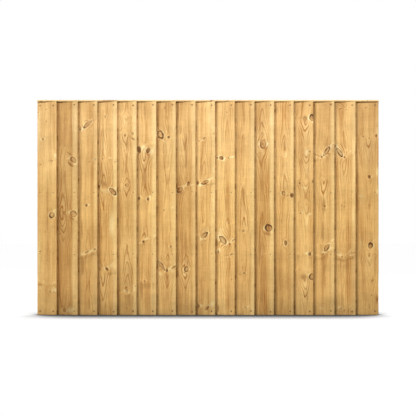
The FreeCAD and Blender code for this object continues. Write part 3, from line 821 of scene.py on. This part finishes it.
def timber_tree():
    inputs = {f"{end} {corner}": ("Vector", None) for end in ("Foot", "Head") for corner in CORNERS}
    for part in PARTS:
        inputs |= {part + "s": ("Int", 2), part + " margin": ("Float", 0.01)}
    inputs["Wood"] = ("Material", None)
    tree, take, give = new_group("sawn timber", "GeometryNodeTree", inputs, {"Geometry": "Geometry"})
    grid = {"Vertices " + axis: take[part + "s"] for axis, part in zip("XYZ", PARTS)}
    cube = out(tree, "GeometryNodeMeshCube", {"Size": (1.0, 1.0, 1.0)} | grid)
    centred = split(out(tree, "GeometryNodeInputPosition"))
    eased = [
        eased_rows(value + 0.5, take[part + "s"], take[part + " margin"])
        for part, value in zip(PARTS, centred)]
    named = {"Geometry": cube, "Name": "unit", "Value": joined(*eased)}
    kept = out(tree, "GeometryNodeStoreNamedAttribute", named, data_type="FLOAT_VECTOR", domain="POINT")
    unit = out(tree, "GeometryNodeInputNamedAttribute", {"Name": "unit"}, data_type="FLOAT_VECTOR")
    across, through, along = split(unit)
    ends = []
    for end in ("Foot", "Head"):
        back = between(across, take[end + " back left"], take[end + " back right"])
        front = between(across, take[end + " front left"], take[end + " front right"])
        ends.append(between(through, front, back))
    position = between(along, *ends)
    shaped = out(tree, "GeometryNodeSetPosition", {"Geometry": kept, "Position": position})
    on_arris = sums("GREATER_THAN", at_end(across) + at_end(through) + at_end(along), 1.5)
    inwards = scaled(out(tree, "GeometryNodeInputNormal"), on_arris * -ARRIS)
    drawn_in = out(tree, "GeometryNodeSetPosition", {"Geometry": shaped, "Offset": inwards})
    soft = out(tree, "GeometryNodeSetShadeSmooth", {"Geometry": drawn_in})
    return coat(tree, give, soft, take["Wood"])


sawn_timber = timber_tree()
print("tree:", sawn_timber.name, "with", len(sawn_timber.nodes), "nodes")

# %% [markdown]
# A tree does nothing until a modifier runs it. Each piece is built by a modifier with its own
# values, and the result is kept as a plain mesh, because the next steps move single points of it
# and write the growth on them.

# %% Running a tree
def show(name, data):
    """A new object in the scene."""
    thing = bpy.data.objects.new(name, data)
    bpy.context.scene.collection.objects.link(thing)
    return thing


def build(name, tree, values, start=None):
    """Runs a tree with the given inputs and keeps the result as a plain mesh object."""
    thing = show(name, start or bpy.data.meshes.new(name))
    modifier = thing.modifiers.new("shape", "NODES")
    modifier.node_group = tree
    for item in tree.interface.items_tree:
        if item.in_out == "INPUT" and item.name in values:
            modifier[item.identifier] = values[item.name]
    graph = bpy.context.evaluated_depsgraph_get()
    mesh = bpy.data.meshes.new_from_object(
        thing.evaluated_get(graph), preserve_all_data_layers=True, depsgraph=graph)
    thing.modifiers.clear()
    thing.data = mesh
    mesh.name = name
    return thing


# %% Points of a timber
OUTER_ROW = 0.0012


def vectors(data, key):
    """The vectors of a mesh layer, one a row."""
    flat = np.empty(len(data) * 3)
    data.foreach_get(key, flat)
    return flat.reshape(-1, 3)


def sawn(name, wood, spots, levels, counts, size):
    """A plain timber on four plan corners, with where its points lie in it, 0 to 1, and in space."""
    values = {"Wood": wood}
    for part, count, side in zip(PARTS, counts, size):
        values |= {part + "s": count, part + " margin": OUTER_ROW / side}
    for corner, (x, y) in zip(CORNERS, spots):
        values |= {f"{end} {corner}": (x, y, level) for end, level in zip(("Foot", "Head"), levels)}
    thing = build(name, sawn_timber, values)
    mesh = thing.data
    return thing, vectors(mesh.attributes["unit"].data, "vector"), vectors(mesh.vertices, "co")


def write_growth(mesh, wood, number, age, sap, tone, glow):
    """Stores the growth in the attributes that the shader reads."""
    strand = (wood.flow - wood.heart) * MM
    layers = {
        "grain": (age, wood.along * MM, number + 0.5 + strand),
        "marks": (wood.outline, wood.body, wood.rim), "skin": (sap, tone, glow)}
    for name, columns in layers.items():
        layer = mesh.attributes.new(name, "FLOAT_VECTOR", "POINT")
        layer.data.foreach_set("vector", np.column_stack(columns).astype(np.float32).ravel())


def settle(thing, place, wood_slot, *nodes):
    """Writes the final points, and lets the piece stand for its solids."""
    mesh = thing.data
    mesh.vertices.foreach_set("co", place.astype(np.float32).ravel())
    mesh.attributes.remove(mesh.attributes["unit"])
    mesh.update()
    mesh.set_sharp_from_angle(angle=math.radians(38))
    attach(thing, "root")
    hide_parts(*nodes)


# %% [markdown]
# ## Nails first, as places
# A nail head leaves a small dent and a dark stain in the board, so the places of the nails are
# needed before the boards. Each group of nails is one solid node; its points fall into clusters
# along the panel, and the outermost points of a cluster are a head.

# %% Places of the nails
NAIL_REACH = 0.009


def solid_points(node):
    return vectors(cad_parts[node].data.vertices, "co")


def head_centres(node, direction):
    """Centre of the outer face of every nail in a node that is driven along a direction."""
    place = solid_points(node)
    axis = int(np.argmax(np.abs(direction)))
    others = [way for way in range(3) if way != axis]
    centres = []
    left = np.ones(len(place), bool)
    while left.any():
        seed = place[left][0]
        near = left & (np.abs(place[:, others] - seed[others]).max(1) < NAIL_REACH)
        cluster = place[near]
        outer = cluster[:, axis] * -direction[axis]
        top = cluster[outer > outer.max() - 1e-5]
        centres.append((top.min(0) + top.max(0)) / 2)
        left &= ~near
    return np.array(centres)


RAILS = ("top_rail", "upper_rail", "lower_rail", "bottom_rail")
BACKWARDS, RIGHTWARDS, LEFTWARDS, DOWNWARDS = (0, 1, 0), (1, 0, 0), (-1, 0, 0), (0, 0, -1)
nail_heads = {rail + "_nails": head_centres(rail + "_nails", BACKWARDS) for rail in RAILS}
board_nails = np.vstack(list(nail_heads.values()))
nail_heads["left_stile_nails"] = head_centres("left_stile_nails", RIGHTWARDS)
nail_heads["right_stile_nails"] = head_centres("right_stile_nails", LEFTWARDS)
nail_heads["capping_nails"] = head_centres("capping_nails", DOWNWARDS)
print({name: len(heads) for name, heads in nail_heads.items()})

# %% [markdown]
# ## Boards
# For each board the tree gives the plain wedge. Its rows then slide closer together near knots
# and nails, where the figure needs more points, the thick edge gets the small waver of a saw
# cut, and the nails press their dents.

# %% Shape of a board
CROWDING = 2.6
NAIL_ROOM = 0.012
DENT, DENT_REACH = 0.0009, 0.0046
OUTER_STAIN, INNER_STAIN, STAIN_REACH = 0.9, 0.2, 0.0052
OUTER_ROWS_FROM = 0.4


def plan_corners(node):
    """Foot of a board's section: back left, back right, front right and front left corner."""
    place = solid_points(node)
    foot = np.unique(np.round(place[place[:, 2] < 1e-5], 6), axis=0)
    foot = foot[np.argsort(foot[:, 0])]
    left = foot[:2][np.argsort(-foot[:2, 1])]
    right = foot[-2:][np.argsort(-foot[-2:, 1])]
    return left[0], right[0], right[1], left[1]


def slide_rows(share, height, busy):
    """Height of each row, with the rows closer together about the busy levels."""
    level = np.linspace(0, height, 3000)
    density = np.ones_like(level)
    for middle, reach in busy:
        density = np.maximum(density, 1 + CROWDING * bell(level - middle, reach))
    climbed = np.concatenate([[0], np.cumsum((density[1:] + density[:-1]) / 2)])
    return np.interp(share, climbed / climbed[-1], level)


def shape_board(number, unit, place, height, nails):
    """Moves the points of a plain wedge, and gives the stain about the nails."""
    busy = [(knot[1] * MM, (1.3 * max(knot[2:4]) + 10) * MM) for knot in KNOTS[number]]
    busy += [(nail[2], NAIL_ROOM) for nail in nails]
    inner = (unit[:, 2] > 0) & (unit[:, 2] < 1)
    place[inner, 2] = slide_rows(unit[inner, 2], height, busy)
    across, front, level = unit[:, 0], 1 - unit[:, 1], place[:, 2]
    waver = 0.6 * (1 + sway(level, 0.31, number)) + 0.3 * (1 + sway(level, 0.047, number + 40))
    place[:, 0] -= waver * MM * across**12
    dent, stain = np.zeros((2, len(place)))
    for nail in nails:
        far = np.hypot(place[:, 0] - nail[0], level - nail[2])
        from_middle = abs(nail[2] - MID_HEIGHT * MM)
        dent = np.maximum(dent, DENT * bell(far, DENT_REACH, 4.0))
        dark = OUTER_STAIN if from_middle > OUTER_ROWS_FROM else INNER_STAIN
        stain = np.maximum(stain, dark * bell(far, STAIN_REACH, 3.0))
    hollow = 0.2 * MM * (1 + sway(level, 0.8, number + 80)) * np.sin(math.pi * across)
    place[:, 1] += (dent + hollow) * front
    return stain * front


# %% [markdown]
# Then the wood is grown through the board, and it gets its tone. Sapwood makes a pale strip along
# the thick edge, and patches where a board comes out from under its neighbour are painted darker,
# as painted shade in the lap.

# %% Boards
BOARD_COUNTS = (40, 4, 280)
NAIL_CLEAR = 0.012
SHARP_STRIP = 25


def board_tone(number, face, level, height, front, thick_edge):
    """How much sapwood shows, and how pale the wood is, with painted shade in patches beside the lap."""
    head_tone, foot_tone, pale, strip, _ = TONES[number]
    line = strip + 2.0 * sway(level, 0.45, number + 7)
    fading = 2 if strip > SHARP_STRIP else 9
    sap = pale * smooth(line + fading, line - fading, thick_edge - face) * front
    tone = foot_tone + (head_tone - foot_tone) * level / height
    tone = tone + 0.75 * np.clip(sap, 0, 1) * (1.0 - tone)
    tone = tone * (1 + 0.04 * sway(level, 0.7, number + 9))
    if number > 1:
        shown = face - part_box(f"board_{number - 1:02d}")[1].x / MM
        # painted shade: patches beside the neighbour's thick edge, where the lap shades the board, are
        # darkened
        lap_gap_shade = np.maximum(sway(level, 0.16, number + 20) + 0.6 * sway(level, 0.04, number + 21), 0)
        tone = tone * (1 - 0.5 * lap_gap_shade * bell(shown, 5.0) * front)
    return sap, tone


def lapped_board(number):
    node = f"board_{number:02d}"
    corners = plan_corners(node)
    low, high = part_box(node)
    height = high.z - low.z
    thick = np.linalg.norm(corners[2] - corners[1])
    size = (np.linalg.norm(corners[1] - corners[0]), thick, height)
    spots = [corner[:2] for corner in corners]
    thing, unit, place = sawn("lapped_" + node, board_wood, spots, (0.0, height), BOARD_COUNTS, size)
    nails = [nail for nail in board_nails if corners[0][0] < nail[0] < corners[2][0] - NAIL_CLEAR]
    stain = shape_board(number, unit, place, height, nails)

    face, level = place[:, 0] / MM, place[:, 2]
    heart, buried, ring, taper = HEARTS[number]
    wood = Growth(level / MM, face, unit[:, 1] * thick / MM, heart, 10 * number)
    for add, table in ((add_knot, KNOTS), (add_streak, STREAKS), (add_flare, FLARES), (add_whorl, WHORLS)):
        for feature in table.get(number, ()):
            add(wood, *feature)
    age, lively = grow_rings(wood, buried, ring, taper, ARCHES.get(number, ()))
    sap, tone = board_tone(number, face, level, height, 1 - unit[:, 1], corners[2][0] / MM)
    glow = wood.glow - TONES[number][4] * (1 - sap) - stain
    write_growth(thing.data, wood, number, age, sap - lively * (1 - sap), tone, glow)
    settle(thing, place, "boards", node)
    return thing


boards = [lapped_board(number) for number in sorted(KNOTS)]
print(len(boards), "boards,", sum(len(board.data.polygons) for board in boards), "faces")

# %% [markdown]
# ## Frame and capping strip
# The rails, stiles and capping strip are squared timbers, so the same tree makes them with equal
# sections at both ends. Their figure is grown in the same way, with the heart to one side, and a
# few knots placed by a fixed random sequence, because this side has nothing to follow. The
# capping's top and back are painted darker than its front edge, as painted shade that keeps the
# top from showing brighter under the lamp overhead.

# %% Frame timbers
FRAME_RING = 4.2


def scattered_knots(random, length, width):
    knots = []
    level = random.uniform(80, 260)
    while level < length - 60:
        wide = random.uniform(4, 9)
        knots.append((
            random.uniform(0.15, 0.85) * width, level, wide, wide * random.uniform(1.0, 1.4),
            random.uniform(-25, 25), random.uniform(0.4, 0.8), random.uniform(0.2, 0.7)))
        level += random.uniform(190, 420)
    return knots


def squared_timber(name, node, way, counts, seed, tone, sap=0.0, painted_top_shade=0.0, knots=None, streaks=()):
    """A squared timber whose length runs along axis 0 or 2.

    painted_top_shade is how much darker its top and back are painted than its front face, as painted shade.
    """
    low, high = (np.array(corner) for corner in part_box(node))
    size = high - low
    spots = ((low[0], high[1]), (high[0], high[1]), (high[0], low[1]), (low[0], low[1]))
    thing, unit, place = sawn(name, frame_wood, spots, (low[2], high[2]), counts, size)
    side = 2 - way
    along = (place[:, way] - low[way]) / MM
    across = (place[:, side] - low[side]) / MM
    depth = (high[1] - place[:, 1]) / MM
    random = np.random.default_rng(seed)
    if knots is None:
        knots = scattered_knots(random, size[way] / MM, size[side] / MM)
    heart = size[side] / MM * random.uniform(-0.4, 1.4)
    wood = Growth(along, across, depth, heart, seed)
    for knot in knots:
        add_knot(wood, *knot)
    for streak in streaks:
        add_streak(wood, *streak)
    age, _ = grow_rings(wood, random.uniform(20, 55), FRAME_RING, random.uniform(-10, 10))
    # painted shade: the top and back are darkened and lose their pale sapwood, so the top does not show
    # brighter under the lamp overhead
    dull = painted_top_shade * smooth(0, 0.1, unit[:, 1])
    tone = tone * (1 - dull) * (1 + 0.04 * sway(along, 700, seed + 9))
    write_growth(thing.data, wood, seed, age, sap * (1 - 4 * dull), tone, wood.glow)
    settle(thing, place, "frame_timber", node)
    return thing


frame_timbers = [
    squared_timber("frame_" + rail, rail, 0, (260, 8, 10), 200 + number, tone)
    for number, (rail, tone) in enumerate(zip(RAILS, (1.0, 0.94, 1.03, 0.97)))]
frame_timbers += [
    squared_timber("frame_" + stile, stile, 2, (10, 8, 200), 300 + number, 0.98 + 0.05 * number)
    for number, stile in enumerate(("left_stile", "right_stile"))]
capping_knots = [(4, 933, 4, 4, 0, 0.9, 0.5), (4, 1021, 3, 5, 0, 0.5, 0.2), (4, 1769, 3, 3, 0, 0.7, 0.3)]
capping_streaks = [(4, 385, 10, 45, 0.7), (4, 1060, 10, 30, 0.3), (4, 60, 10, 60, 0.2)]
frame_timbers.append(squared_timber(
    "capping", "capping_strip", 0, (420, 12, 4), 401, 1.04, 0.8, 0.22, capping_knots, capping_streaks))
frame_faces = sum(len(timber.data.polygons) for timber in frame_timbers)
print(len(frame_timbers), "frame timbers,", frame_faces, "faces")

# %% [markdown]
# ## Nails
# The galvanised coat of the nails is a dull, mottled grey with a little rust. The dip has dried
# over the middle rows of nails and left them the colour of the wood.

# %% Nail finish
def galvanised():
    material, tree, shader = new_material("dull galvanised")
    place = out(tree, "ShaderNodeTexCoord", output="Object")
    spangle = cloud(place, 700.0, 3.0, 0.6)
    rust = ramp(cloud(place, 240.0), 0.5, 0.72)
    colour = tint(spangle, (0.045, 0.030, 0.018, 1), (0.10, 0.072, 0.045, 1))
    colour = tint(rust, colour, (0.06, 0.03, 0.015, 1))
    _, _, level = split(place)
    dipped = ramp(abs(level - 0.5), 0.3, 0.45, 0.82, 0.12)
    fill(shader, {
        "Base Color": tint(dipped, colour, (0.42, 0.25, 0.09, 1)),
        "Roughness": ramp(spangle, 0.2, 0.8, 0.45, 0.7), "Metallic": ramp(rust, 0.0, 1.0, 0.35, 0.05),
        "Normal": out(tree, "ShaderNodeBump", {"Strength": 0.3, "Distance": 0.0002, "Height": spangle})})
    return material


nail_metal = galvanised()
print("material:", nail_metal.name)

# %% [markdown]
# Every nail is the same turned shape, so one small tree builds it from a flat-topped head and a
# shank, and places a copy at each head's centre. Modelling each nail by hand would give the same
# picture for far more work.

# %% Nail tree
HEAD_SIDES, SHANK_SIDES = 16, 8
BOARD_NAIL = {"Head radius": 0.003, "Head depth": 0.001, "Shank radius": 0.00105, "Length": 0.032}
FRAME_NAIL = {"Head radius": 0.00375, "Head depth": 0.0014, "Shank radius": 0.00155, "Length": 0.065}


def nail_tree():
    inputs = {"Geometry": ("Geometry", None), "Turn": ("Vector", None), "Metal": ("Material", None)}
    inputs |= {part: ("Float", size) for part, size in BOARD_NAIL.items()}
    tree, take, give = new_group("wire nails", "GeometryNodeTree", inputs, {"Geometry": "Geometry"})
    radius, depth = take["Head radius"], take["Head depth"]
    rim = depth * 0.6
    crown = depth - rim
    length = take["Length"] - depth
    cone = {"Vertices": HEAD_SIDES, "Radius Top": radius * 0.8, "Radius Bottom": radius, "Depth": crown}
    disc = {"Vertices": HEAD_SIDES, "Radius": radius, "Depth": rim}
    shank = {"Vertices": SHANK_SIDES, "Radius": take["Shank radius"], "Depth": length}
    nail = put(tree, "GeometryNodeJoinGeometry")
    parts = (
        ("Cone", cone, crown),
        ("Cylinder", disc, crown + rim * 0.5),
        ("Cylinder", shank, depth + length * 0.5))
    for kind, sizes, drop in parts:
        part = out(tree, "GeometryNodeMesh" + kind, sizes)
        moved = {"Geometry": part, "Translation": joined(0.0, 0.0, drop * -1.0)}
        fill(nail, {0: out(tree, "GeometryNodeTransform", moved)})
    spread = {"Points": take["Geometry"], "Instance": Value(nail.outputs[0]), "Rotation": take["Turn"]}
    return coat(tree, give, out(tree, "GeometryNodeInstanceOnPoints", spread), take["Metal"])


wire_nails = nail_tree()
print("tree:", wire_nails.name, "with", len(wire_nails.nodes), "nodes")

# %% Rows of nails
QUARTER = math.pi / 2


def nail_row(node, turn, sizes):
    spots = bpy.data.meshes.new(node + "_spots")
    spots.from_pydata([tuple(head) for head in nail_heads[node]], [], [])
    thing = build("wire_" + node, wire_nails, {"Turn": turn, "Metal": nail_metal} | sizes, spots)
    thing.data.set_sharp_from_angle(angle=math.radians(40))
    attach(thing, "root")
    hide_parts(node)
    return thing


nail_rows = [nail_row(rail + "_nails", (QUARTER, 0, 0), BOARD_NAIL) for rail in RAILS]
nail_rows.append(nail_row("left_stile_nails", (0, -QUARTER, 0), FRAME_NAIL))
nail_rows.append(nail_row("right_stile_nails", (0, QUARTER, 0), FRAME_NAIL))
nail_rows.append(nail_row("capping_nails", (0, 0, 0), BOARD_NAIL))
print(len(nail_rows), "groups of nails")

# %% [markdown]
# ## Studio
# The panel stands on a plain white floor under soft light. The floor and the background are white
# only to the camera. To the light they are much darker, so that they do not flood the panel. The
# floor darkens close to the panel, where little of the sky reaches it.

# %% Floor and world
FLOOR_REACH = 12.0
WHITE = (1, 1, 1, 1)


def only_seen(tree):
    """1 for rays that make the picture, 0 for rays that only carry light."""
    ray = values_of(put(tree, "ShaderNodeLightPath"))
    mirrored = sums("MAXIMUM", ray["Is Glossy Ray"], ray["Is Transmission Ray"])
    return sums("MAXIMUM", ray["Is Camera Ray"], mirrored)


def white_floor():
    material, tree, _ = new_material("studio floor")
    tree.nodes.clear()
    open_sky = out(tree, "ShaderNodeAmbientOcclusion", {"Distance": 0.36}, "AO", samples=16)
    matt = out(tree, "ShaderNodeBsdfDiffuse", {"Color": (0.2, 0.2, 0.2, 1)})
    white = out(tree, "ShaderNodeEmission", {"Color": WHITE, "Strength": only_seen(tree) * 0.9})
    lit = out(tree, "ShaderNodeAddShader", {0: matt, 1: white})
    dark = out(tree, "ShaderNodeBsdfDiffuse", {"Color": (0.02, 0.02, 0.02, 1)})
    mixed = {0: ramp(open_sky, 0.55, 1.0, 0.05, 1.0), 1: dark, 2: lit}
    put(tree, "ShaderNodeOutputMaterial", {"Surface": out(tree, "ShaderNodeMixShader", mixed)})
    return material


floor_mesh = bpy.data.meshes.new("floor")
floor_corners = [(FLOOR_REACH * x, FLOOR_REACH * y, 0) for x, y in ((-1, -1), (1, -1), (1, 1), (-1, 1))]
floor_mesh.from_pydata(floor_corners, [], [(0, 1, 2, 3)])
floor_mesh.materials.append(white_floor())
floor = show("floor", floor_mesh)

world = bpy.data.worlds.new("studio")
bpy.context.scene.world = world
world.use_nodes = True
sky = world.node_tree
sky.nodes.clear()
soft = out(sky, "ShaderNodeBackground", {"Color": WHITE, "Strength": 0.19})
white = out(sky, "ShaderNodeBackground", {"Color": WHITE, "Strength": 1.0})
choice = out(sky, "ShaderNodeMixShader", {0: only_seen(sky), 1: soft, 2: white})
put(sky, "ShaderNodeOutputWorld", {"Surface": choice})
print("floor", FLOOR_REACH * 2, "m across")

# %% [markdown]
# A sun from the upper left draws the shadow beside each thick edge, and a wide lamp overhead makes
# the top brighter than the foot. A third lamp, behind, lights the frame for views from that side.

# %% Lamps
def lamp(name, kind, energy, place, aim, **settings):
    data = bpy.data.lights.new(name, kind)
    data.energy = energy
    for key, value in settings.items():
        setattr(data, key, value)
    thing = show(name, data)
    thing.location = place
    direction = np.array(aim) - np.array(place)
    level = math.atan2(math.hypot(direction[0], direction[1]), -direction[2])
    heading = math.atan2(direction[1], direction[0]) - QUARTER
    thing.rotation_euler = (level, 0, heading)
    return thing


lamps = [
    lamp("key", "SUN", 2.38, (-0.80, -0.50, 0.90), (0, 0, 0.57), angle=math.radians(24)),
    lamp("overhead", "AREA", 41, (0.0, -1.45, 2.15), (0, 0, 0.7), shape="RECTANGLE", size=4.4, size_y=0.4),
    lamp("behind", "AREA", 85, (0.9, 2.2, 2.1), (0, 0, 0.5), shape="RECTANGLE", size=3.0, size_y=1.0)]
print("lamps:", [thing.name for thing in lamps])

# %% [markdown]
# ## Camera
# The panel is seen square on from some way off, with the camera level at about half its height.
# The lens is worked out from the width that the picture has to take in.

# %% Camera
PICTURE_WIDTH = 2.2243
EYE_LEVEL = 0.5721
DISTANCE = 6.0
camera_data = bpy.data.cameras.new("camera")
camera_data.sensor_width = 36.0
camera_data.lens = camera_data.sensor_width * DISTANCE / PICTURE_WIDTH
camera = show("camera", camera_data)
camera.location = (0.0, cad_box[0][1] - DISTANCE, EYE_LEVEL)
camera.rotation_euler = (QUARTER, 0, 0)
bpy.context.scene.camera = camera
bpy.context.scene.view_settings.view_transform = "Standard"
print("lens", round(camera_data.lens, 1), "mm")
